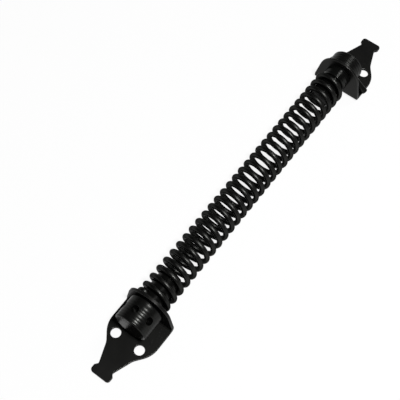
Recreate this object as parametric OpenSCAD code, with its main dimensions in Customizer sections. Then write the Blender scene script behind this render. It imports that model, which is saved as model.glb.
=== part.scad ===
// Gate spring closer: a wound spring between two screw-on brackets, one with a winding drum.
// Millimetres. X runs along the spring, Y across the plates, Z up from the mounting surface.
// The origin is midway between the adjuster bracket's two screw holes, on the plate's back.

/* [Brackets] */
// Thickness of the steel plate
plate_t = 2; // [1.6:0.1:2.6]
// Inside radius of the bend between plate and flange
bend_r = 1.5; // [1:0.1:2.5]
// Length from the flange's spring face to the end of the foot
plate_len = 49.4; // [46:0.2:60]
// Width of the plate at its shoulders and of the flange at its base
shoulder_w = 34.6; // [32:0.2:40]
// Length of the straight shoulders, from the flange's spring face to the start of the taper
shoulder_len = 21; // [18:0.5:25]
// Radius of the shoulders' outer corners
shoulder_r = 16; // [8:0.5:18]
// Distance from the flange's spring face to the waist, where the taper meets the neck
waist_len = 30.4; // [28:0.2:36]
// Width of the plate at the waist
waist_w = 20; // [16:0.2:24]
// Radius of the hollow curve at the waist
waist_r = 10; // [4:0.5:14]
// Width of the neck where it meets the foot
neck_w = 10.4; // [8:0.2:12]
// Width of the foot across its two toes
foot_w = 13.8; // [12.5:0.1:18]
// Length of the foot, from its end to its toes' inner corners
foot_len = 4.2; // [3.5:0.1:6]
// Length over which the neck flares out to the toes
toe_flare = 2; // [1.5:0.1:3]
// Radius of the toes' inner corners and of the hollow behind them
toe_r = 1.1; // [0.6:0.1:1.2]
// Radius of the foot's end corners
foot_r = 2.1; // [1:0.1:2.2]
// Diameter of the screw holes
screw_hole_d = 6.5; // [5:0.1:7.5]
// Distance between the two screw holes of a bracket
screw_spacing = 18; // [17:0.2:20]
// Distance from the flange's spring face to the screw holes
screw_setback = 22.8; // [21.5:0.1:26]
// Height at which the flange's sides start to slope inwards
flange_foot_h = 5; // [4:0.5:10]
// Height of the flange above the spring's axis
flange_rise = 12.2; // [9:0.2:14]
// Width of the flange at the height of its top, before the top is rounded
flange_top_w = 25.2; // [18:0.2:28]
// Width of the flat that the rounding leaves at the flange's top
flange_flat = 1; // [0.5:0.1:8]

/* [Spring] */
// Height of the spring's axis above the mounting surface
axis_h = 17.5; // [16:0.1:22]
// Outside diameter of the coil
coil_od = 22.4; // [20:0.1:24]
// Diameter of the spring wire
wire_d = 3.5; // [2.6:0.1:3.6]
// Distance from one turn to the next
coil_pitch = 6.435; // [5.4:0.005:7]
// Turns of the coil from tang to tang
coil_turns = 30.15; // [20:0.05:36]
// Share of the first turn that lies flat against the adjuster bracket, before the coil starts to climb
closed_turn = 0.26; // [0:0.02:0.5]
// Angle of the first turn's start, from +Y down round the axis
coil_start = -36; // [-360:1:360]
// Bend radius of the wire's centre line at each tang
tang_bend_r = 1.9; // [1.85:0.05:2.1]
// Length of the straight run at the end of each tang
tang_len = 2.8; // [2:0.1:3]
// Clearance round the coil's inside and beside its end turns
coil_gap = 0.25; // [0.2:0.01:0.5]
// Clearance round a tang in its hole
tang_gap = 0.15; // [0.1:0.01:0.18]

/* [Plugs] */
// How much wider the collar is than the spigot, on each side
collar_step = 2.05; // [1:0.05:2.5]
// Length of the anchor plug's collar
anchor_collar = 8.4; // [0.8:0.1:12]
// Length of the adjuster plug's spigot inside the coil
adjuster_spigot = 21.5; // [17:0.5:40]
// Length of the anchor plug's spigot inside the coil
anchor_spigot = 16.5; // [15:0.5:40]
// Chamfer on a spigot's nose
spigot_chamfer = 1.5; // [0.5:0.1:2.5]
// Diameter of the shank that joins a plug to its drum or hub
shank_d = 7.5; // [6:0.1:7.6]
// How far the shank reaches into its plug
shank_grip = 14; // [8:0.5:15]

/* [Drum and hub] */
// Diameter of the winding drum and of the anchor hub
drum_d = 22.4; // [20:0.1:25]
// Length of the winding drum
drum_len = 16.2; // [13:0.1:17]
// Length of the anchor hub
hub_len = 9.2; // [8:0.1:14]
// Radius of the rounded rims
rim_r = 1; // [0.4:0.1:1.5]
// Number of bar holes round the drum
bar_holes = 6; // [3:1:6]
// Diameter of a bar hole
bar_hole_d = 4.8; // [4.4:0.1:5]
// Depth of a bar hole
bar_hole_depth = 5.6; // [4:0.1:5.8]
// Angle of the first bar hole, from +Z towards -Y
bar_hole_start = -11; // [-60:1:60]
// End play between the winding drum and its flange
drum_play = 0.9; // [0.2:0.1:1]

/* [Stop pin] */
// Diameter of the stop pin
pin_d = 4.5; // [3.5:0.1:5]
// Distance from the hub's end face to the pin's centre line
pin_setback = 3.4; // [3:0.1:5]
// How far the pin reaches past the hub's axis, inside the hub
pin_tail = 7; // [3:0.5:9]
// How far the pin sticks out past the plate's edge
pin_overhang = 1.4; // [0.5:0.1:4]
// Chamfer on the pin's two ends
pin_chamfer = 0.5; // [0.2:0.1:1]

/* [Fits] */
// Radial clearance of a shank turning in its flange
running_gap = 0.08; // [0.03:0.01:0.1]
// Radial clearance of a driven pin or shank in its seat
press_gap = 0.02; // [0.01:0.01:0.05]
// End play between a turning face and its flange, and between the pin and the plate's edge
face_gap = 0.25; // [0.2:0.01:0.4]

/* [Hidden] */
$fn = 64;

paint_black = [0.07, 0.07, 0.07];
wire_black = [0.09, 0.09, 0.09];
turned_black = [0.12, 0.12, 0.12];

// How far a cutting or trimming shape runs past what it cuts
past = 1;
// Largest angle between neighbouring points of a rounded corner, and of a rim
arc_step = 6;
rim_step = 10;
// Rings of the wire in one turn, and sides of each ring
turn_rings = 8;
wire_sides = 6;
// Rings in the bend at each tang
tang_rings = 4;
// Rings that count as the same stretch of wire when the gap to other stretches is measured
same_stretch = 5;

wire_r = wire_d / 2;
coil_r = coil_od / 2 - wire_r;
coil_end = coil_start + 360 * coil_turns;
// The wire's straight chords come closest to the axis midway between two rings
coil_inside_r = coil_r * cos(180 / turn_rings) - wire_r;
spigot_r = coil_inside_r - coil_gap;
collar_r = spigot_r + collar_step;
shank_r = shank_d / 2;
drum_r = drum_d / 2;
pin_r = pin_d / 2;

// The flange's sides lean in by this angle, and one arc on each side rounds the top down to its flat
flange_lean = atan2((shoulder_w - flange_top_w) / 2, axis_h + flange_rise - flange_foot_h);
flange_r = (flange_top_w - flange_flat) / 2 / tan((90 - flange_lean) / 2);

// Places along X, from the adjuster bracket's screw holes to the anchor bracket's
flange_near = screw_setback;
plug_near = flange_near + face_gap;
coil_x = plug_near + wire_r;
coil_end_x = coil_x + (coil_turns - closed_turn) * coil_pitch;
plug_far = coil_end_x + wire_r + coil_gap + anchor_collar;
flange_far = plug_far + face_gap;
drum_x = flange_near - plate_t - drum_play;
hub_x = flange_far + plate_t + face_gap;
pin_x = hub_x + hub_len - pin_setback;

// The tang bends inwards until it points straight at the axis, then runs straight
tang_turn = acos(-tang_bend_r / (coil_r - tang_bend_r));
tang_in = coil_r - tang_bend_r + tang_bend_r * cos(tang_turn);
tang_side = tang_bend_r * sin(tang_turn);

// The pin slopes down until it meets the plate's edge
edge_y = shoulder_w / 2;
edge_drop = axis_h - plate_t;
pin_slope = atan2(edge_drop, edge_y) - asin((pin_r + face_gap) / norm([edge_y, edge_drop]));
pin_reach = (edge_y + pin_overhang) / cos(pin_slope);

function unit(v) = v / norm(v);

// Points of the arc that rounds corner b, between a and c, to radius r
function corner(a, b, c, r) =
    r == 0 ? [b] :
    let (u = unit(a - b))
    let (w = unit(c - b))
    let (half = acos(u * w) / 2)
    let (centre = b + unit(u + w) * r / sin(half))
    let (start = b + u * r / tan(half) - centre)
    let (from = atan2(start.y, start.x))
    let (sweep = (180 - 2 * half) * sign(cross(b - a, c - b)))
    let (steps = ceil(abs(sweep) / arc_step))
    [for (i = [0 : steps]) centre + r * [cos(from + sweep * i / steps), sin(from + sweep * i / steps)]];

// A closed outline with each corner [x, y, radius] rounded
function rounded(pts) =
    let (n = len(pts))
    let (xy = [for (p = pts) [p.x, p.y]])
    [for (i = [0 : n - 1]) each corner(xy[(i + n - 1) % n], xy[i], xy[(i + 1) % n], pts[i][2])];

// Half an outline and its mirror image across the X axis
function both_sides(half) =
    let (n = len(half))
    concat(half, [for (i = [n - 1 : -1 : 0]) [half[i].x, -half[i].y, half[i][2]]]);

// Plan of the plate, from the flange's spring face outwards
function plate_outline() = rounded(both_sides([
    [-past, shoulder_w / 2, 0],
    [shoulder_len, shoulder_w / 2, shoulder_r],
    [waist_len, waist_w / 2, waist_r],
    [plate_len - foot_len - toe_flare, neck_w / 2, toe_r],
    [plate_len - foot_len, foot_w / 2, toe_r],
    [plate_len, foot_w / 2, foot_r]]));

// The flange seen along the spring: height, half width
function flange_outline() = rounded(both_sides([
    [-past, shoulder_w / 2, 0],
    [flange_foot_h, shoulder_w / 2, 0],
    [axis_h + flange_rise, flange_top_w / 2, flange_r]]));

// The bent plate seen from its edge
function bend_outline() = rounded([
    [plate_len + past, 0, 0],
    [0, 0, bend_r + plate_t],
    [0, axis_h + flange_rise + past, 0],
    [plate_t, axis_h + flange_rise + past, 0],
    [plate_t, plate_t, bend_r],
    [plate_len + past, plate_t, 0]]);

// One pressed bracket, with the flange's spring face at X = 0 and the foot towards +X
module bracket() {
    tall = axis_h + flange_rise + 2 * past;
    wide = shoulder_w + 2 * past;
    difference() {
        intersection() {
            translate([0, wide / 2, 0]) rotate([90, 0, 0]) linear_extrude(wide) polygon(bend_outline());
            translate([0, 0, -past]) linear_extrude(tall) polygon(plate_outline());
            translate([plate_len + past, 0, 0]) rotate([0, -90, 0])
                linear_extrude(plate_len + 2 * past) polygon(flange_outline());
        }
        for (side = [-1, 1])
            translate([screw_setback, side * screw_spacing / 2, -past])
                cylinder(h = plate_t + 2 * past, d = screw_hole_d);
        translate([-past, 0, axis_h]) rotate([0, 90, 0])
            cylinder(h = plate_t + 2 * past, r = shank_r + running_gap);
    }
}

// Turns a profile of [distance, radius] points about the spring's axis, distances along +X
module turned(profile) {
    translate([0, 0, axis_h]) rotate([0, 90, 0]) rotate_extrude()
        polygon([for (p = profile) [p.y, p.x]]);
}

// Quarter-round rim from [at, radius - rim_r] to the full radius, leading or trailing
function rim(at, radius, ahead) =
    let (steps = ceil(90 / rim_step))
    [for (i = [0 : steps])
        let (a = 90 * (ahead ? i : steps - i) / steps)
        [at + (ahead ? 1 : -1) * rim_r * (1 - cos(a)), radius - rim_r + rim_r * sin(a)]];

// A turned barrel with rounded rims and a shank on its +X face
module barrel(length, shank_len) {
    turned(concat(
        [[0, 0]],
        rim(0, drum_r, true),
        rim(length, drum_r, false),
        [[length, shank_r], [length + shank_len, shank_r], [length + shank_len, 0]]));
}

// A round bar or hole that points away from the axis at an angle from +Z towards -Y
module spoke(x, angle, inner, outer, r) {
    translate([x, 0, axis_h]) rotate([angle, 0, 0]) translate([0, 0, inner])
        cylinder(h = outer - inner, r = r);
}

// A spring plug with its flange face at X = 0, a collar there if it has one, and its spigot towards +X
module plug(collar, spigot) {
    nose = collar + spigot;
    bore_r = shank_r + press_gap;
    turned(concat(
        [[0, bore_r]],
        collar > 0 ? [[0, collar_r], [collar, collar_r]] : [],
        [[collar, spigot_r], [nose - spigot_chamfer, spigot_r], [nose, spigot_r - spigot_chamfer], [nose, 0],
         [shank_grip + coil_gap, 0], [shank_grip + coil_gap, bore_r]]));
}

// The wire's path, from the axis: tang, coil and tang
function radial(a) = [0, cos(a), -sin(a)];
function onward(a) = [0, -sin(a), -cos(a)];
function climb(a) = coil_pitch * max(0, (a - coil_start) / 360 - closed_turn);
function helix(a) = [coil_x + climb(a), 0, 0] + coil_r * radial(a);
// Place in a tang's bend, turned by b from the coil, before its start (-1) or after its end (1)
function tang_bend(a, b, way) = helix(a)
    - tang_bend_r * (1 - cos(b)) * radial(a)
    + way * tang_bend_r * sin(b) * onward(a);
// Direction of the wire there
function tang_along(a, b, way) = cos(b) * onward(a) - way * sin(b) * radial(a);
// End of the tang's straight run
function tang_tip(a, way) = tang_bend(a, tang_turn, way) + way * tang_len * tang_along(a, tang_turn, way);
// Angle of a tang, from +Z towards -Y
function tang_angle(a, way) =
    let (p = tang_bend(a, tang_turn, way))
    atan2(-p.y, p.z);

// Angles of the rings along the coil, and turns of the rings in the first and the last tang's bend
coil_rings = round(turn_rings * coil_turns);
ring_angles = [for (i = [0 : coil_rings]) coil_start + (coil_end - coil_start) * i / coil_rings];
first_bends = [for (i = [0 : tang_rings - 1]) tang_turn * (1 - i / tang_rings)];
last_bends = [for (i = [1 : tang_rings]) tang_turn * i / tang_rings];
coil_path = concat(
    [tang_tip(coil_start, -1)],
    [for (b = first_bends) tang_bend(coil_start, b, -1)],
    [for (a = ring_angles) helix(a)],
    [for (b = last_bends) tang_bend(coil_end, b, 1)],
    [tang_tip(coil_end, 1)]);
coil_along = concat(
    [tang_along(coil_start, tang_turn, -1)],
    [for (b = first_bends) tang_along(coil_start, b, -1)],
    [for (a = ring_angles) onward(a)],
    [for (b = last_bends) tang_along(coil_end, b, 1)],
    [tang_along(coil_end, tang_turn, 1)]);

// Least gap between stretches of the wire that aren't neighbours
coil_count = len(coil_path);
coil_self_gap = min([for (i = [0 : coil_count - 1 - same_stretch])
    min([for (j = [i + same_stretch : coil_count - 1]) norm(coil_path[i] - coil_path[j])])]) - wire_d;
echo(str("coil_spring: least gap between its turns ", coil_self_gap, " mm"));

// Ring of points round the wire, in the plane of X and the line square to the wire's direction round the axis
function wire_ring(i) =
    let (u = [1, 0, 0])
    let (v = cross(coil_along[i], u))
    [for (k = [0 : wire_sides - 1])
        coil_path[i] + wire_r * (cos(360 * k / wire_sides) * u + sin(360 * k / wire_sides) * v)];

module adjuster_bracket() {
    color(paint_black) translate([flange_near, 0, 0]) mirror([1, 0, 0]) bracket();
}

module anchor_bracket() {
    color(paint_black) translate([flange_far, 0, 0]) bracket();
}

module adjuster_drum() {
    color(turned_black) difference() {
        translate([drum_x - drum_len, 0, 0])
            barrel(drum_len, drum_play + plate_t + face_gap + shank_grip);
        for (i = [0 : bar_holes - 1])
            spoke(drum_x - drum_len / 2, bar_hole_start + 360 * i / bar_holes,
                  drum_r - bar_hole_depth, drum_r + past, bar_hole_d / 2);
    }
}

module anchor_hub() {
    color(turned_black) difference() {
        translate([hub_x + hub_len, 0, 0]) mirror([1, 0, 0])
            barrel(hub_len, face_gap + plate_t + face_gap + shank_grip);
        spoke(pin_x, 90 + pin_slope, -pin_tail - press_gap, drum_r + past, pin_r + press_gap);
    }
}

module tang_hole(x, a, way) {
    inner = norm([tang_in, tang_side]) - tang_len - tang_gap;
    spoke(x, tang_angle(a, way), inner, collar_r + past, wire_r + tang_gap);
}

module adjuster_plug() {
    color(paint_black) difference() {
        translate([plug_near, 0, 0]) plug(0, adjuster_spigot);
        tang_hole(coil_x, coil_start, -1);
    }
}

module anchor_plug() {
    color(paint_black) difference() {
        translate([plug_far, 0, 0]) mirror([1, 0, 0]) plug(anchor_collar, anchor_spigot);
        tang_hole(coil_end_x, coil_end, 1);
    }
}

module coil_spring() {
    n = wire_sides;
    last = n * (coil_count - 1);
    sides = [for (i = [0 : coil_count - 2], k = [0 : n - 1])
        let (a = n * i + k)
        let (b = n * i + (k + 1) % n)
        each [[a, a + n, b], [b, a + n, b + n]]];
    caps = [for (k = [1 : n - 2]) each [[0, k, k + 1], [last, last + k + 1, last + k]]];
    color(wire_black) translate([0, 0, axis_h])
        polyhedron(points = [for (i = [0 : coil_count - 1]) each wire_ring(i)], faces = concat(sides, caps));
}

module stop_pin() {
    length = pin_tail + pin_reach;
    color(turned_black) translate([pin_x, 0, axis_h]) rotate([90 + pin_slope, 0, 0])
        translate([0, 0, -pin_tail]) rotate_extrude()
            polygon([[0, 0], [pin_r - pin_chamfer, 0], [pin_r, pin_chamfer],
                     [pin_r, length - pin_chamfer], [pin_r - pin_chamfer, length], [0, length]]);
}

adjuster_bracket();
adjuster_drum();
adjuster_plug();
coil_spring();
anchor_plug();
anchor_hub();
anchor_bracket();
stop_pin();
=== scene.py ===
# %% [markdown]
# # A gate spring closer, dressed for its picture
# The closer is screwed across the hinge side of a gate and its post. A bar put into the drum's holes winds
# the spring up, and the wound spring pulls the gate shut. The CAD model already fixes every size and every
# place. This file loads it as a frame, builds each piece again with the softened edges, smooth wire and
# black finishes that a real one has, and hangs each piece on the CAD body that it moves with.

# %% Load the CAD frame
import math
import random

import bmesh
import bpy
from mathutils import Matrix, Vector


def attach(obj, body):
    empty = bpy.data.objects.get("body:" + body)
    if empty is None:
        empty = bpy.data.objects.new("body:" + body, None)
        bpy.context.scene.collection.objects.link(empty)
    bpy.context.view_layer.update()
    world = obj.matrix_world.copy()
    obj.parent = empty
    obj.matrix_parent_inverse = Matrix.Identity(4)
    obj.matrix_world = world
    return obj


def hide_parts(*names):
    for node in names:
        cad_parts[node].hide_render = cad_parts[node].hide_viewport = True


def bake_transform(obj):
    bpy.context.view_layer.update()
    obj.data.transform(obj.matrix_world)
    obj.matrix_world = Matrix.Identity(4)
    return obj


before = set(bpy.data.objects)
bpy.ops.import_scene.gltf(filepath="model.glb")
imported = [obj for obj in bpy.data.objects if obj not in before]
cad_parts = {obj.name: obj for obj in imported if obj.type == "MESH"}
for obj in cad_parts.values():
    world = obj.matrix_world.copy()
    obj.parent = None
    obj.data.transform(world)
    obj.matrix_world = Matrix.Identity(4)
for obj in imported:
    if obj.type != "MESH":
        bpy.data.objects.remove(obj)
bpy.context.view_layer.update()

MM = 0.001
print("CAD nodes:", sorted(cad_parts))

# %% [markdown]
# ## Sums on sockets
# A finish is a network of nodes, and so is a Geometry Nodes shape. Wiring every node by hand hides the idea
# behind it. One small class wraps an output socket, so that `1 - mask` or `height * 0.3` adds its own Math
# nodes, and one method adds any other node: its type, its settings, then what goes into its sockets.

# %% A socket that takes part in sums
class Signal:
    """An output socket of a node tree. Sums on it add Math nodes to the tree."""

    def __init__(self, tree, socket=None):
        self.tree = tree
        self.socket = socket

    def node(self, kind, settings=None, sockets=None, out=0):
        """Add a node, set it up, fill its sockets, and give one of its outputs."""
        made = self.tree.nodes.new(kind)
        for name, value in (settings or {}).items():
            setattr(made, name, value)
        for key, value in (sockets or {}).items():
            if isinstance(value, Signal):
                self.tree.links.new(value.socket, made.inputs[key])
            else:
                made.inputs[key].default_value = value
        return Signal(self.tree, made.outputs[out] if made.outputs else None)

    def math(self, operation, *terms):
        return self.node("ShaderNodeMath", {"operation": operation}, dict(enumerate(terms)))

    def __add__(self, other):
        return self.math("ADD", self, other)

    def __radd__(self, other):
        return self.math("ADD", other, self)

    def __sub__(self, other):
        return self.math("SUBTRACT", self, other)

    def __rsub__(self, other):
        return self.math("SUBTRACT", other, self)

    def __mul__(self, other):
        return self.math("MULTIPLY", self, other)

    def __rmul__(self, other):
        return self.math("MULTIPLY", other, self)

    def __truediv__(self, other):
        return self.math("DIVIDE", self, other)

    def __pow__(self, other):
        return self.math("POWER", self, other)

    def clamped(self, low, high):
        return self.math("MINIMUM", self.math("MAXIMUM", self, low), high)


# %% [markdown]
# ## The black finishes
# All of the closer is black, yet three blacks show. The pressed brackets are painted: even and half matt,
# with the faint lines of the rolled strip under the paint, and their rounded edges carry a painted highlight,
# lighter and smoother than the flat faces. The turned pieces keep fine rings from the lathe, and the plugs
# shine a little more than the rest.
# The spring wire is drawn through a die, so its marks run along the wire. A flat black would lose all of
# that, so each finish varies its gloss and its surface by a few thousandths of a millimetre. A plain black
# gloss would also mirror the white floor brightly at a low angle, which black skin on steel doesn't do. So
# the finishes are partly a very dark metal, and a specular tint holds their edges back.

# %% Helpers that every finish shares
BUMP_UNIT = 1e-6


def finish_start(name):
    """A new material without nodes, and a Signal to grow its network from."""
    material = bpy.data.materials.new(name)
    material.use_nodes = True
    tree = material.node_tree
    tree.nodes.clear()
    return material, Signal(tree)


def place_in_mm(net):
    """X, Y and Z on the piece, in millimetres."""
    spot = net.node("ShaderNodeTexCoord", out="Object")
    in_mm = net.node("ShaderNodeVectorMath", {"operation": "SCALE"}, {0: spot, "Scale": 1 / MM})
    parts = net.node("ShaderNodeSeparateXYZ", sockets={0: in_mm})
    return [Signal(net.tree, output) for output in parts.socket.node.outputs]


def point(net, x, y, z):
    """A place from three numbers or Signals."""
    return net.node("ShaderNodeCombineXYZ", sockets={0: x, 1: y, 2: z})


def grain(net, where, size, detail=2.0):
    """Noise from 0 to 1 whose cells are about `size` units of `where` across."""
    return net.node("ShaderNodeTexNoise", {"noise_dimensions": "3D"},
                    {"Vector": where, "Scale": 1 / size, "Detail": detail, "Roughness": 0.5})


def tint(net, mask, low, high):
    """A colour between two, by a mask from 0 to 1."""
    return net.node("ShaderNodeMix", {"data_type": "RGBA"}, {0: mask, 6: low, 7: high}, out=2)


def finish_end(net, colour, roughness, height, constants):
    """The shader: colour, gloss, a surface height in micrometres, and what is the same all over."""
    bump = net.node("ShaderNodeBump", sockets={"Strength": 1.0, "Distance": BUMP_UNIT, "Height": height})
    shader = net.node("ShaderNodeBsdfPrincipled",
                      sockets={"Base Color": colour, "Roughness": roughness, "Normal": bump, **constants})
    net.node("ShaderNodeOutputMaterial", sockets={"Surface": shader})


def blacked(bareness, edge, skin=0.5):
    """Constants of black skin on steel: the steel's share, the edges' brightness and the skin's gloss."""
    return {"Metallic": bareness, "Specular Tint": (edge, edge, edge, 1), "Specular IOR Level": skin}


# %% Black paint on the pressed brackets
RIM = "rounded_rim"
PAINT_DARK = (0.0113, 0.0113, 0.0107, 1)
PAINT_LIGHT = (0.0164, 0.0164, 0.0155, 1)
# Painted highlight: the colour of the rounded edges, lighter than the paint
PAINT_EDGE_HIGHLIGHT = (0.034, 0.034, 0.033, 1)
PAINT_ROUGH = 0.29
# Marks are measured in millimetres, and their heights in micrometres
CLOUD_SIZE = 9.0
CLOUD_ROUGH = 0.07
PEEL_SIZE = 0.7
PEEL_HEIGHT = 5.0
ROLL_WIDTH = 0.45
ROLL_SQUEEZE = 0.03
ROLL_ROUGH = 0.04
ROLL_HEIGHT = 3.0
# How much painted highlight the rounded edges take, and how much less rough they get
EDGE_HIGHLIGHT_LEAST = 0.4
EDGE_HIGHLIGHT_CLOUD = 0.8
EDGE_HIGHLIGHT_GLOSS = 0.07


def bracket_paint():
    material, net = finish_start("bracket_paint")
    x, y, z = place_in_mm(net)
    spot = point(net, x, y, z)
    rolled = grain(net, point(net, (x + z) * ROLL_SQUEEZE, y, 0.0), ROLL_WIDTH)
    peel = grain(net, spot, PEEL_SIZE, detail=1.0)
    cloud = grain(net, spot, CLOUD_SIZE, detail=3.0)
    rim = net.node("ShaderNodeAttribute", {"attribute_name": RIM}, out="Fac")
    # A painted highlight on the rounded edges, patchy with the cloud: lighter colour and lower roughness
    edge_highlight = (rim * (EDGE_HIGHLIGHT_LEAST + cloud * EDGE_HIGHLIGHT_CLOUD)).clamped(0.0, 1.0)
    colour = tint(net, edge_highlight, tint(net, cloud, PAINT_DARK, PAINT_LIGHT), PAINT_EDGE_HIGHLIGHT)
    roughness = PAINT_ROUGH + cloud * CLOUD_ROUGH + rolled * ROLL_ROUGH - edge_highlight * EDGE_HIGHLIGHT_GLOSS
    height = peel * PEEL_HEIGHT + rolled * ROLL_HEIGHT
    finish_end(net, colour, roughness, height, blacked(bareness=0.7, edge=0.46))
    return material


# %% Black finish on turned pieces
# The spring's axis above the brackets' flat backs
AXIS_H = 17.5 * MM
TURNED_DARK = (0.014, 0.0143, 0.0136, 1)
TURNED_LIGHT = (0.02, 0.0204, 0.0194, 1)
BLOOM_SIZE = 2.4
BLOOM_ROUGH = 0.12
RING_WIDTH = 0.22
RING_ROUGH = 0.06
RING_HEIGHT = 4.0
PIT_SIZE = 0.5
PIT_HEIGHT = 3.0


def turned_black(name, dullness):
    material, net = finish_start(name)
    x, y, z = place_in_mm(net)
    up = z - AXIS_H / MM
    radius = (y * y + up * up) ** 0.5
    rings = grain(net, point(net, x + radius, 0.0, 0.0), RING_WIDTH)
    spot = point(net, x, y, z)
    bloom = grain(net, spot, BLOOM_SIZE, detail=3.0)
    colour = tint(net, bloom, TURNED_DARK, TURNED_LIGHT)
    roughness = dullness + bloom * BLOOM_ROUGH + rings * RING_ROUGH
    height = rings * RING_HEIGHT + grain(net, spot, PIT_SIZE) * PIT_HEIGHT
    finish_end(net, colour, roughness, height, blacked(bareness=0.85, edge=0.65, skin=0.25))
    return material


# %% Black finish on the drawn wire
WIRE_ALONG = "wire_along"
WIRE_ROUND = "wire_round"
WIRE_DARK = (0.023, 0.0234, 0.0224, 1)
WIRE_LIGHT = (0.032, 0.0325, 0.0311, 1)
WIRE_ROUGH = 0.28
DRAWN_WIDTH = 0.35
DRAWN_SQUEEZE = 0.06
DRAWN_SPREAD = 2.0
DRAWN_ROUGH = 0.06
DRAWN_HEIGHT = 4.0
SCALE_SIZE = 1.1
SCALE_SPREAD = 1.6
SCALE_ROUGH = 0.12
SCALE_HEIGHT = 6.0


def spring_black():
    material, net = finish_start("spring_black")
    along = net.node("ShaderNodeAttribute", {"attribute_name": WIRE_ALONG}, out="Fac")
    turn = net.node("ShaderNodeAttribute", {"attribute_name": WIRE_ROUND}, out="Fac")
    across = net.math("COSINE", turn)
    upright = net.math("SINE", turn)
    lines = point(net, along * DRAWN_SQUEEZE, across * DRAWN_SPREAD, upright * DRAWN_SPREAD)
    drawn = grain(net, lines, DRAWN_WIDTH)
    skin = point(net, along, across * SCALE_SPREAD, upright * SCALE_SPREAD)
    scale = grain(net, skin, SCALE_SIZE, detail=3.0)
    colour = tint(net, scale, WIRE_DARK, WIRE_LIGHT)
    roughness = WIRE_ROUGH + scale * SCALE_ROUGH + drawn * DRAWN_ROUGH
    height = drawn * DRAWN_HEIGHT + scale * SCALE_HEIGHT
    finish_end(net, colour, roughness, height, blacked(bareness=1.0, edge=0.42))
    return material


PAINT = bracket_paint()
TURNED = turned_black("turned_black", dullness=0.2)
PLUG_TURNED = turned_black("plug_black", dullness=0.1)
WIRE = spring_black()
print("finishes:", [material.name for material in (PAINT, TURNED, PLUG_TURNED, WIRE)])

# %% [markdown]
# ## From a working object to a finished piece
# Modifiers and Geometry Nodes are for working. A finished piece is a plain mesh at the origin that rides on
# a body and stands for its CAD node. Weighted normals keep flat faces flat next to small rounded edges, where
# plain smooth shading would let the rounding bleed across the face.

# %% Helpers that finish a piece
SHARP_EDGE = math.radians(32)


def new_object(name, data):
    """An object in the scene with the given mesh, lamp or camera."""
    made = bpy.data.objects.new(name, data)
    bpy.context.scene.collection.objects.link(made)
    return made


def set_plain(piece):
    """Replace a working object's mesh and modifiers by the mesh that they make."""
    graph = bpy.context.evaluated_depsgraph_get()
    made = bpy.data.meshes.new_from_object(piece.evaluated_get(graph), preserve_all_data_layers=True,
                                           depsgraph=graph)
    piece.modifiers.clear()
    piece.data = made


def smooth(piece):
    """Smooth shading that breaks at sharp edges and stays flat on flat faces."""
    piece.data.shade_smooth()
    piece.data.set_sharp_from_angle(angle=SHARP_EDGE)
    weighted = piece.modifiers.new("flat faces stay flat", "WEIGHTED_NORMAL")
    weighted.keep_sharp = True
    set_plain(piece)


def fit(piece, node, body):
    """The piece stands for a CAD node and moves with its body."""
    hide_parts(node)
    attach(piece, body)
    print(piece.name, "for", node, "on", body, "with", len(piece.data.polygons), "faces")


# %% [markdown]
# ## The pressed brackets
# Each bracket is a strip of 2 mm steel, blanked to shape and bent up into a flange. The press leaves the
# rim rounded over, and paint rounds it further, which is why the edges catch the light. The CAD mesh has
# the right shape but razor edges. A copy of it is merged, its flat triangles are dissolved, and a Bevel
# rounds only the sharp edges. The Bevel also puts its own faces into a second material slot, which tells
# them apart long enough to mark where the painted edge highlight goes.

# %% Brackets with rounded edges
EDGE_ROUND = 0.6 * MM
EDGE_STEPS = 3
RIM_SLOT = 1
MERGE = 1e-6
FLAT = math.radians(0.6)


def mark_rim(mesh):
    """Store 1 on the points inside a rounded edge and 0 elsewhere, then give all faces one slot again."""
    flat = {corner for face in mesh.polygons if face.material_index != RIM_SLOT for corner in face.vertices}
    mark = mesh.attributes.new(RIM, "FLOAT", "POINT")
    mark.data.foreach_set("value", [float(i not in flat) for i in range(len(mesh.vertices))])
    mesh.polygons.foreach_set("material_index", [0] * len(mesh.polygons))
    mesh.materials.pop(index=RIM_SLOT)


def pressed(name, node):
    """A copy of a bracket's CAD mesh with its pressed edges rounded."""
    shell = bmesh.new()
    shell.from_mesh(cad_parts[node].data)
    bmesh.ops.remove_doubles(shell, verts=shell.verts, dist=MERGE)
    bmesh.ops.dissolve_limit(shell, angle_limit=FLAT, verts=shell.verts, edges=shell.edges)
    mesh = bpy.data.meshes.new(name)
    shell.to_mesh(mesh)
    shell.free()
    mesh.materials.append(PAINT)
    mesh.materials.append(PAINT)
    piece = new_object(name, mesh)
    edge = piece.modifiers.new("rounded edges", "BEVEL")
    edge.material = RIM_SLOT
    edge.width = EDGE_ROUND
    edge.segments = EDGE_STEPS
    edge.limit_method = "ANGLE"
    edge.angle_limit = SHARP_EDGE
    set_plain(piece)
    mark_rim(piece.data)
    smooth(piece)
    return piece


for node in ("adjuster_bracket", "anchor_bracket"):
    fit(pressed(node + "_pressing", node), node, node)

# %% [markdown]
# ## The turned pieces
# The drum, the hub, the two plugs and the pin come off a lathe, so each is a half profile spun round its
# axis. The drum's highlight breaks into short bars, because the cutter leaves shallow waves along the
# barrel. The waves are up to about a tenth of a millimetre deep and are part of the profile, so they are
# there in the mesh too.

# %% Spinning a profile
LATHE_SIDES = 120


def eased(corners, steps=6):
    """Points of a profile of (distance, radius, rounding) corners, with each corner rounded off."""
    points = []
    for i, (x, y, rounding) in enumerate(corners):
        here = Vector((x, y))
        if rounding == 0:
            points.append(here)
            continue
        to_last = (Vector(corners[i - 1][:2]) - here).normalized()
        to_next = (Vector(corners[i + 1][:2]) - here).normalized()
        half = to_last.angle(to_next) / 2
        centre = here + (to_last + to_next).normalized() * rounding / math.sin(half)
        start = here + to_last * rounding / math.tan(half) - centre
        end = here + to_next * rounding / math.tan(half) - centre
        for k in range(steps + 1):
            points.append(centre + start.slerp(end, k / steps).normalized() * rounding)
    return points


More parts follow.
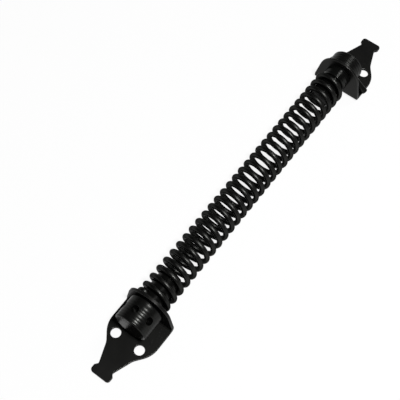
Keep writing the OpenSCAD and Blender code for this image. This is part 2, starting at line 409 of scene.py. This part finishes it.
def on_axis(face_x, way):
    """The place of a piece on the axis, with its face at face_x, that points along X or against it."""
    place = Matrix.Translation((face_x, 0, AXIS_H))
    return place if way > 0 else place @ Matrix.Rotation(math.pi, 4, "Z")


def turned(name, points, place, material):
    """Spin (distance, radius) points about X, then move the result to its place."""
    lathe = bmesh.new()
    rim = [lathe.verts.new((p[0], 0, p[1])) for p in points]
    edges = [lathe.edges.new(pair) for pair in zip(rim, rim[1:])]
    bmesh.ops.spin(lathe, geom=rim + edges, axis=(1, 0, 0), cent=(0, 0, 0),
                   angle=2 * math.pi, steps=LATHE_SIDES, use_merge=True)
    bmesh.ops.remove_doubles(lathe, verts=lathe.verts, dist=MERGE)
    bmesh.ops.recalc_face_normals(lathe, faces=lathe.faces)
    lathe.transform(place)
    mesh = bpy.data.meshes.new(name)
    lathe.to_mesh(mesh)
    lathe.free()
    mesh.materials.append(material)
    return new_object(name, mesh)


# %% [markdown]
# ## Holes round a turned piece
# The drum has six bar holes, each plug one hole for the spring's tang, and the hub one for the pin. All of
# them point straight at the axis, so they are one rule: a drill, repeated round the axis at equal angles.
# Geometry Nodes repeat the drill and its countersink, and a Boolean takes them out of the turned blank. The
# countersink is what a drill's burr is cleaned off with, and its small cone catches the light round each
# hole.

# %% Helpers for node trees
def node_group(name, inputs):
    """A Geometry Nodes tree with named inputs, its input node and the identifiers of its inputs."""
    tree = bpy.data.node_groups.new(name, "GeometryNodeTree")
    tree.interface.new_socket("Geometry", in_out="INPUT", socket_type="NodeSocketGeometry")
    tree.interface.new_socket("Geometry", in_out="OUTPUT", socket_type="NodeSocketGeometry")
    keys = {}
    for title, kind in inputs.items():
        socket = tree.interface.new_socket(title, in_out="INPUT", socket_type="NodeSocket" + kind)
        keys[title] = socket.identifier
    net = Signal(tree)
    gate = tree.nodes.new("NodeGroupInput")
    given = {output.name: Signal(tree, output) for output in gate.outputs if output.name}
    return net, given, keys


def group_end(net, geometry, given):
    """End a tree with plain geometry in the given material."""
    real = net.node("GeometryNodeRealizeInstances", sockets={"Geometry": geometry})
    coated = net.node("GeometryNodeSetMaterial", sockets={"Geometry": real, "Material": given["Material"]})
    net.node("NodeGroupOutput", sockets={"Geometry": coated})


def add_group(piece, tree, keys, values):
    """Put a tree on an object with its inputs set, and turn the result into a plain mesh."""
    modifier = piece.modifiers.new(tree.name, "NODES")
    modifier.node_group = tree
    for title, value in values.items():
        modifier[keys[title]] = value
    set_plain(piece)


# %% The drill as a node tree
DRILL_SIDES = 48
# How far the countersink's cone reaches above and below the surface, in its own widths
SINK_OVER = 1.0
SINK_UNDER = 1.5


def drill_cutters(net, given):
    """A drill bit and its countersink, both pointing up from the axis."""
    sink = given["Countersink"]
    run = given["Outer"] - given["Inner"] + sink
    bit = net.node("GeometryNodeMeshCylinder", sockets={
        "Vertices": DRILL_SIDES, "Radius": given["Hole Radius"], "Depth": run})
    cone = net.node("GeometryNodeMeshCone", sockets={
        "Vertices": DRILL_SIDES, "Depth": sink * (SINK_OVER + SINK_UNDER),
        "Radius Top": given["Hole Radius"] + sink * (1 + SINK_OVER),
        "Radius Bottom": given["Hole Radius"] + sink * (1 - SINK_UNDER)})
    cutters = []
    for cutter, height in ((bit, given["Inner"] + run / 2.0), (cone, given["Outer"] - sink * SINK_UNDER)):
        lift = net.node("ShaderNodeCombineXYZ", sockets={2: height})
        cutters.append(net.node("GeometryNodeTransform", sockets={"Geometry": cutter, "Translation": lift}))
    return cutters


def drill_tree():
    net, given, keys = node_group("drill_round_axis", {
        "Holes": "Int", "First Angle": "Float", "Along": "Float", "Axis Height": "Float", "Inner": "Float",
        "Outer": "Float", "Hole Radius": "Float", "Countersink": "Float", "Material": "Material"})
    centre = net.node("ShaderNodeCombineXYZ", sockets={0: given["Along"], 2: given["Axis Height"]})
    stations = net.node("GeometryNodePoints", sockets={"Count": given["Holes"], "Position": centre})
    order = net.node("GeometryNodeInputIndex")
    angle = given["First Angle"] + order * (2 * math.pi) / given["Holes"]
    aim = net.node("FunctionNodeEulerToRotation", sockets={
        0: net.node("ShaderNodeCombineXYZ", sockets={0: angle})})
    cut = given["Geometry"]
    for cutter in drill_cutters(net, given):
        ring = net.node("GeometryNodeInstanceOnPoints", sockets={
            "Points": stations, "Instance": cutter, "Rotation": aim})
        ring = net.node("GeometryNodeRealizeInstances", sockets={"Geometry": ring})
        cut = net.node("GeometryNodeMeshBoolean", {"operation": "DIFFERENCE", "solver": "EXACT"},
                       {"Mesh 1": cut, "Mesh 2": ring})
    group_end(net, cut, given)
    return net.tree, keys


DRILL, DRILL_KEYS = drill_tree()
print("drill:", len(DRILL.nodes), "nodes")


def drill(piece, along, first_angle, inner, outer, radius, holes=1, countersink=0.3 * MM):
    """Drill holes towards the axis, at equal angles from the first, which runs from +Z towards -Y."""
    add_group(piece, DRILL, DRILL_KEYS, {
        "Holes": holes, "First Angle": first_angle, "Along": along, "Axis Height": AXIS_H, "Inner": inner,
        "Outer": outer, "Hole Radius": radius, "Countersink": countersink,
        "Material": piece.data.materials[0]})


# %% [markdown]
# ## The winding drum and the anchor hub
# Both are the same bar turned to the same diameter, with rounded rims and a thin shank that runs through
# the flange into its plug. The drum is long enough for a row of bar holes. The hub only needs to hold the
# pin.

# %% Barrels with a shank
BARREL_R = 11.2 * MM
SHANK_R = 3.75 * MM
RIM_ROUND = 1.0 * MM
WAVE_LENGTH = 2.0 * MM
# Widths are compared with each other, and a wave's depth is a share of its width
WAVE_WIDTHS = (0.6, 1.4)
WAVE_SLOPES = (0.02, 0.055)
WAVE_POINTS = 10
CUTTER = random.Random(4)


def waves(start, end, radius):
    """Profile corners along a turned length, with the shallow waves that the cutter leaves."""
    widths = [CUTTER.uniform(*WAVE_WIDTHS) for wave in range(round((end - start) / WAVE_LENGTH))]
    spread = (end - start) / sum(widths)
    points = []
    for width in widths:
        depth = CUTTER.uniform(*WAVE_SLOPES) * width * spread
        for k in range(WAVE_POINTS):
            dip = (1 - math.cos(2 * math.pi * k / WAVE_POINTS)) / 2
            points.append((start + width * spread * k / WAVE_POINTS, radius - depth * dip, 0))
        start += width * spread
    return points[1:]


def barrel(name, face_x, way, length, shank_len):
    """A barrel whose end face is at face_x, with its shank on the other side."""
    points = eased([(0, 0, 0), (0, BARREL_R, RIM_ROUND), *waves(RIM_ROUND, length - RIM_ROUND, BARREL_R),
                    (length, BARREL_R, RIM_ROUND), (length, SHANK_R, 0), (length + shank_len, SHANK_R, 0),
                    (length + shank_len, 0, 0)])
    return turned(name, points, on_axis(face_x, way), TURNED)


FLANGE_NEAR = 22.8 * MM
PLATE_T = 2.0 * MM
FACE_GAP = 0.25 * MM
SHANK_GRIP = 14.0 * MM
DRUM_LEN = 16.2 * MM
DRUM_PLAY = 0.9 * MM
BAR_HOLES = 6
BAR_HOLE_R = 2.4 * MM
BAR_HOLE_DEPTH = 5.6 * MM
BAR_HOLE_START = math.radians(-11)

drum_face = FLANGE_NEAR - PLATE_T - DRUM_PLAY - DRUM_LEN
drum = barrel("winding_drum", drum_face, 1, DRUM_LEN, DRUM_PLAY + PLATE_T + FACE_GAP + SHANK_GRIP)
drill(drum, drum_face + DRUM_LEN / 2, BAR_HOLE_START, BARREL_R - BAR_HOLE_DEPTH, BARREL_R, BAR_HOLE_R,
      holes=BAR_HOLES)
smooth(drum)
fit(drum, "adjuster_drum", "winder")

# %% [markdown]
# ## The spring
# The spring is one length of drawn wire, wound left-handed in an open coil. Its first quarter of a turn
# lies flat against the bracket, and both ends bend inwards into their plugs. A screw modifier could wind
# the coil but not the ends, so the path is written as a rule in Geometry Nodes: each point's place follows
# from how far along the wire it is. The same distance is stored on the mesh, and the wire's finish runs
# along it.

# %% Sizes of the wire
WIRE_R = 1.75 * MM
COIL_R = 9.45 * MM
COIL_PITCH = 6.435 * MM
COIL_TURNS = 30.15
CLOSED_TURN = 0.26
COIL_START = math.radians(-36)
COIL_GAP = 0.25 * MM
TANG_BEND_R = 1.9 * MM
TANG_RUN = 2.8 * MM
# The bend goes on until the tang points straight at the axis
TANG_TURN = math.acos(-TANG_BEND_R / (COIL_R - TANG_BEND_R))
PLUG_NEAR = FLANGE_NEAR + FACE_GAP
COIL_X = PLUG_NEAR + WIRE_R
COIL_END_X = COIL_X + (COIL_TURNS - CLOSED_TURN) * COIL_PITCH
RINGS_PER_TURN = 56
WIRE_SIDES = 20
# Share of a turn over which the flat end turn eases into the climb
CLIMB_EASE = 0.05


# %% The wire's path as a rule
def wire_path(net, given, order):
    """Each ring's place, and the length of wire before it."""
    bend = given["Bend Radius"] * given["Bend Turn"]
    coil = given["Turns"] * given["Coil Radius"] * (2 * math.pi)
    tang = given["Tang Run"] + bend
    full = coil + tang * 2.0
    gone = order / (given["Rings"] - 1.0) * full
    left = full - gone
    wound = ((gone - tang) / coil).clamped(0.0, 1.0) * given["Turns"]
    angle = given["Start Angle"] + wound * (2 * math.pi)
    first_bend = ((tang - gone) / bend).clamped(0.0, 1.0)
    last_bend = ((tang - left) / bend).clamped(0.0, 1.0)
    curl = (first_bend + last_bend) * given["Bend Turn"]
    side = last_bend - first_bend
    way = net.math("SIGN", side)
    run = (given["Tang Run"] - gone).clamped(0.0, 1.0) + (given["Tang Run"] - left).clamped(0.0, 1.0)
    sine = net.math("SINE", curl)
    cosine = net.math("COSINE", curl)
    out = given["Coil Radius"] - given["Bend Radius"] * (1.0 - cosine) - run * sine
    across = way * (given["Bend Radius"] * sine + run * cosine)
    rise = wound - given["Closed Turn"]
    climb = (rise + (rise * rise + CLIMB_EASE ** 2) ** 0.5) / 2.0
    sin_a = net.math("SINE", angle)
    cos_a = net.math("COSINE", angle)
    spot = net.node("ShaderNodeCombineXYZ", sockets={
        0: given["Start"] + climb * given["Pitch"],
        1: out * cos_a - across * sin_a,
        2: given["Axis Height"] - out * sin_a - across * cos_a})
    return spot, gone


# %% The wire as a node tree
def wire_tree():
    net, given, keys = node_group("wound_wire", {
        "Start": "Float", "Axis Height": "Float", "Coil Radius": "Float", "Pitch": "Float", "Turns": "Float",
        "Closed Turn": "Float", "Start Angle": "Float", "Bend Radius": "Float", "Bend Turn": "Float",
        "Tang Run": "Float", "Wire Radius": "Float", "Rings": "Int", "Sides": "Int", "Material": "Material"})
    order = net.node("GeometryNodeInputIndex")
    spot, gone = wire_path(net, given, order)
    line = net.node("GeometryNodeMeshLine", sockets={"Count": given["Rings"]})
    line = net.node("GeometryNodeSetPosition", sockets={"Geometry": line, "Position": spot})
    path = net.node("GeometryNodeMeshToCurve", sockets={"Mesh": line})
    path = net.node("GeometryNodeStoreNamedAttribute", {"data_type": "FLOAT", "domain": "POINT"},
                    {"Geometry": path, "Name": WIRE_ALONG, "Value": gone / MM})
    ring = net.node("GeometryNodeCurvePrimitiveCircle", sockets={
        "Resolution": given["Sides"], "Radius": given["Wire Radius"]})
    ring = net.node("GeometryNodeStoreNamedAttribute", {"data_type": "FLOAT", "domain": "POINT"},
                    {"Geometry": ring, "Name": WIRE_ROUND, "Value": order * (2 * math.pi) / given["Sides"]})
    wire = net.node("GeometryNodeCurveToMesh", sockets={
        "Curve": path, "Profile Curve": ring, "Fill Caps": True})
    group_end(net, wire, given)
    return net.tree, keys


WIRE_TREE, WIRE_KEYS = wire_tree()
print("wire:", len(WIRE_TREE.nodes), "nodes")
spring = new_object("wound_spring", bpy.data.meshes.new("wound_spring"))
add_group(spring, WIRE_TREE, WIRE_KEYS, {
    "Start": COIL_X, "Axis Height": AXIS_H, "Coil Radius": COIL_R, "Pitch": COIL_PITCH, "Turns": COIL_TURNS,
    "Closed Turn": CLOSED_TURN, "Start Angle": COIL_START, "Bend Radius": TANG_BEND_R, "Bend Turn": TANG_TURN,
    "Tang Run": TANG_RUN, "Wire Radius": WIRE_R, "Rings": round(RINGS_PER_TURN * COIL_TURNS),
    "Sides": WIRE_SIDES, "Material": WIRE})
spring.data.shade_smooth()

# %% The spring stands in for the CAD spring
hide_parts("coil_spring")
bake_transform(spring)
print("spring:", COIL_TURNS, "turns,", len(spring.data.polygons), "faces")

# %% [markdown]
# ## The plugs inside the spring's ends
# Each end of the wire is held by a turned plug: a round spigot inside the coil with a hole for the tang.
# The anchor plug also has a wide collar that keeps the last turn off the flange, and it shows as a bare
# round neck. The CAD wire runs in straight chords, which come nearer to the axis than a round turn does, so
# the spigot is a little thicker here than in CAD and fills the coil as the real one does.

# %% Plugs with their tang holes
SPIGOT_R = 7.63 * MM
ADJUSTER_SPIGOT = 21.5 * MM
ANCHOR_SPIGOT = 16.5 * MM
SPIGOT_CHAMFER = 1.5 * MM
COLLAR_R = 8.78 * MM
ANCHOR_COLLAR = 8.4 * MM
TANG_HOLE_R = 1.9 * MM
SMALL_ROUND = 0.35 * MM
PLUG_BORE_R = 3.77 * MM


def plug(name, face_x, way, collar, spigot):
    """A plug whose flat face is at face_x, with its spigot pointing the given way."""
    nose = collar + spigot
    step = [(0, COLLAR_R, SMALL_ROUND), *waves(SMALL_ROUND, collar - SMALL_ROUND, COLLAR_R),
            (collar, COLLAR_R, SMALL_ROUND)] if collar else []
    depth = SHANK_GRIP + COIL_GAP
    points = eased([(0, PLUG_BORE_R, 0)] + step + [
        (collar, SPIGOT_R, 0 if collar else SMALL_ROUND), (nose - SPIGOT_CHAMFER, SPIGOT_R, SMALL_ROUND),
        (nose, SPIGOT_R - SPIGOT_CHAMFER, SMALL_ROUND), (nose, 0, 0), (depth, 0, 0), (depth, PLUG_BORE_R, 0),
        (0, PLUG_BORE_R, 0)])
    return turned(name, points, on_axis(face_x, way), PLUG_TURNED)


def tang_angle(angle, way):
    """Where a tang points away from the axis, from +Z towards -Y."""
    out = COIL_R - TANG_BEND_R * (1 - math.cos(TANG_TURN))
    across = way * TANG_BEND_R * math.sin(TANG_TURN)
    y = out * math.cos(angle) - across * math.sin(angle)
    z = -out * math.sin(angle) - across * math.cos(angle)
    return math.atan2(-y, z)


PLUG_FAR = COIL_END_X + WIRE_R + COIL_GAP + ANCHOR_COLLAR
COIL_END = COIL_START + 2 * math.pi * COIL_TURNS
TANG_FOOT = 4.35 * MM

near_plug = plug("adjuster_plug_turned", PLUG_NEAR, 1, 0, ADJUSTER_SPIGOT)
drill(near_plug, COIL_X, tang_angle(COIL_START, -1), TANG_FOOT, SPIGOT_R, TANG_HOLE_R)
smooth(near_plug)
fit(near_plug, "adjuster_plug", "winder")

far_plug = plug("anchor_plug_turned", PLUG_FAR, -1, ANCHOR_COLLAR, ANCHOR_SPIGOT)
drill(far_plug, COIL_END_X, tang_angle(COIL_END, 1), TANG_FOOT, SPIGOT_R, TANG_HOLE_R)
smooth(far_plug)
fit(far_plug, "anchor_plug", "anchor")

# %% [markdown]
# ## The hub and its stop pin
# The pin is driven across the hub and slopes down to the edge of the plate. It carries the spring's pull
# from the hub into the bracket. Its ends are chamfered, so that it starts straight in its hole.

# %% Hub and pin
HUB_LEN = 9.2 * MM
PIN_R = 2.25 * MM
PIN_SETBACK = 3.4 * MM
PIN_TAIL = 7.0 * MM
PIN_OVERHANG = 1.4 * MM
PIN_CHAMFER = 0.5 * MM
PIN_EASE = 0.15 * MM
PRESS_GAP = 0.02 * MM
EDGE_Y = 17.3 * MM

edge_drop = AXIS_H - PLATE_T
pin_slope = math.atan2(edge_drop, EDGE_Y) - math.asin((PIN_R + FACE_GAP) / math.hypot(EDGE_Y, edge_drop))
pin_reach = (EDGE_Y + PIN_OVERHANG) / math.cos(pin_slope)
pin_angle = math.pi / 2 + pin_slope
hub_face = PLUG_FAR + FACE_GAP + PLATE_T + FACE_GAP + HUB_LEN
pin_x = hub_face - PIN_SETBACK

hub = barrel("anchor_hub_turned", hub_face, -1, HUB_LEN, FACE_GAP + PLATE_T + FACE_GAP + SHANK_GRIP)
drill(hub, pin_x, pin_angle, -PIN_TAIL - PRESS_GAP, BARREL_R, PIN_R + PRESS_GAP)
smooth(hub)
fit(hub, "anchor_hub", "anchor")

pin_place = (Matrix.Translation((pin_x, 0, AXIS_H)) @ Matrix.Rotation(pin_angle, 4, "X")
             @ Matrix.Rotation(-math.pi / 2, 4, "Y"))
pin_points = eased([
    (-PIN_TAIL, 0, 0), (-PIN_TAIL, PIN_R - PIN_CHAMFER, PIN_EASE),
    (-PIN_TAIL + PIN_CHAMFER, PIN_R, PIN_EASE), (pin_reach - PIN_CHAMFER, PIN_R, PIN_EASE),
    (pin_reach, PIN_R - PIN_CHAMFER, PIN_EASE), (pin_reach, 0, 0)])
pin = turned("stop_pin_turned", pin_points, pin_place, TURNED)
smooth(pin)
fit(pin, "stop_pin", "anchor")

# %% [markdown]
# ## Floor, light and camera
# A black object shows mostly what it mirrors. A soft lamp above it draws the streak along every turn of the
# spring, and a weak one beyond the far end puts a glint on each turned piece. The white floor does the
# rest: it shows as the second, lower band of light along each round piece. The floor is white to the camera
# and in reflections, but it is an ordinary pale surface for the light that it bounces, so the shadow under
# the closer stays. The wall is white where it meets the floor, so that a low view keeps a pale background,
# and dimmer above.

# %% The floor
FLOOR_HALF = 4.0
FLOOR_DROP = 0.1 * MM
FLOOR_WHITE = 0.88
PALE = (0.85, 0.85, 0.85, 1)
WHITE = (1, 1, 1, 1)


def seen_directly(net):
    """1 for what the camera sees, straight or in a reflection or through glass, else 0."""
    path = net.node("ShaderNodeLightPath").socket.node
    camera, glossy, through = [Signal(net.tree, path.outputs["Is %s Ray" % kind])
                               for kind in ("Camera", "Glossy", "Transmission")]
    return (camera + glossy + through).clamped(0.0, 1.0)


def floor_finish():
    material, net = finish_start("pale_floor")
    pale = net.node("ShaderNodeBsdfDiffuse", sockets={"Color": PALE})
    white = net.node("ShaderNodeEmission", sockets={"Color": WHITE, "Strength": 1.0})
    mixed = net.node("ShaderNodeMixShader", sockets={0: seen_directly(net) * FLOOR_WHITE, 1: pale, 2: white})
    net.node("ShaderNodeOutputMaterial", sockets={"Surface": mixed})
    return material


floor_mesh = bpy.data.meshes.new("floor")
floor_mesh.from_pydata([(x * FLOOR_HALF, y * FLOOR_HALF, -FLOOR_DROP)
                        for x, y in ((-1, -1), (1, -1), (1, 1), (-1, 1))], [], [(0, 1, 2, 3)])
floor_mesh.materials.append(floor_finish())
floor = new_object("floor", floor_mesh)
print("floor:", 2 * FLOOR_HALF, "m wide")

# %% The surroundings
# Heights run from 0 at the floor to 1 overhead
HORIZON_TOP = 0.12
HORIZON_WHITE = 0.9
WALL_TOP = 0.33
WALL_WHITE = 0.4
CEILING = 0.06
FADE = 0.06


def surroundings():
    """A low pale wall all round, white where it meets the floor, and a dim ceiling above it."""
    world = bpy.data.worlds.new("studio")
    world.use_nodes = True
    world.node_tree.nodes.clear()
    net = Signal(world.node_tree)
    gaze = net.node("ShaderNodeTexCoord", out="Generated")
    height = net.node("ShaderNodeSeparateXYZ", sockets={0: gaze}, out=2)
    horizon = ((HORIZON_TOP - height) / FADE).clamped(0.0, 1.0)
    wall = ((WALL_TOP - height) / FADE).clamped(0.0, 1.0)
    brightness = CEILING + wall * (WALL_WHITE - CEILING) + horizon * (HORIZON_WHITE - WALL_WHITE)
    sky = net.node("ShaderNodeBackground", sockets={"Color": WHITE, "Strength": brightness})
    net.node("ShaderNodeOutputWorld", sockets={"Surface": sky})
    bpy.context.scene.world = world


surroundings()
print("wall:", HORIZON_WHITE, "at the floor,", WALL_WHITE, "above it; ceiling:", CEILING)

# %% The lamps
LAMP_AIM = Vector((0.1, 0.0, 0.02))


def soft_lamp(name, place, size, power):
    """A square lamp at a place, turned towards the closer."""
    data = bpy.data.lights.new(name, "AREA")
    data.shape = "SQUARE"
    data.size = size
    data.energy = power
    lamp = new_object(name, data)
    lamp.location = place
    lamp.rotation_euler = (place - LAMP_AIM).to_track_quat("Z", "Y").to_euler()
    print(name, "gives", power, "W")


soft_lamp("main_lamp", place=Vector((0.0, -0.4, 1.2)), size=0.2, power=16.0)
soft_lamp("end_lamp", place=Vector((0.87, -0.26, 1.05)), size=0.3, power=2.9)

# %% The camera
CAMERA_AZIMUTH = math.radians(-55.126)
CAMERA_HEIGHT = math.radians(62.913)
CAMERA_ROLL = math.radians(2.162)
CAMERA_TARGET = Vector((102.12, 22.69, 0)) * MM
CAMERA_DISTANCE = 554.8 * MM
CAMERA_LENS = 77.29

back = Vector((math.sin(CAMERA_AZIMUTH) * math.cos(CAMERA_HEIGHT),
               -math.cos(CAMERA_AZIMUTH) * math.cos(CAMERA_HEIGHT), math.sin(CAMERA_HEIGHT)))
level = Vector((0, 0, 1)).cross(back).normalized()
upright = back.cross(level)
right = level * math.cos(CAMERA_ROLL) + upright * math.sin(CAMERA_ROLL)
up = upright * math.cos(CAMERA_ROLL) - level * math.sin(CAMERA_ROLL)
camera_data = bpy.data.cameras.new("camera")
camera_data.lens = CAMERA_LENS
camera = new_object("camera", camera_data)
axes = Matrix((right, up, back)).transposed().to_4x4()
camera.matrix_world = Matrix.Translation(CAMERA_TARGET + back * CAMERA_DISTANCE) @ axes
bpy.context.scene.camera = camera
bpy.context.scene.view_settings.view_transform = "Standard"
print("camera:", round(CAMERA_DISTANCE / MM), "mm from its target")
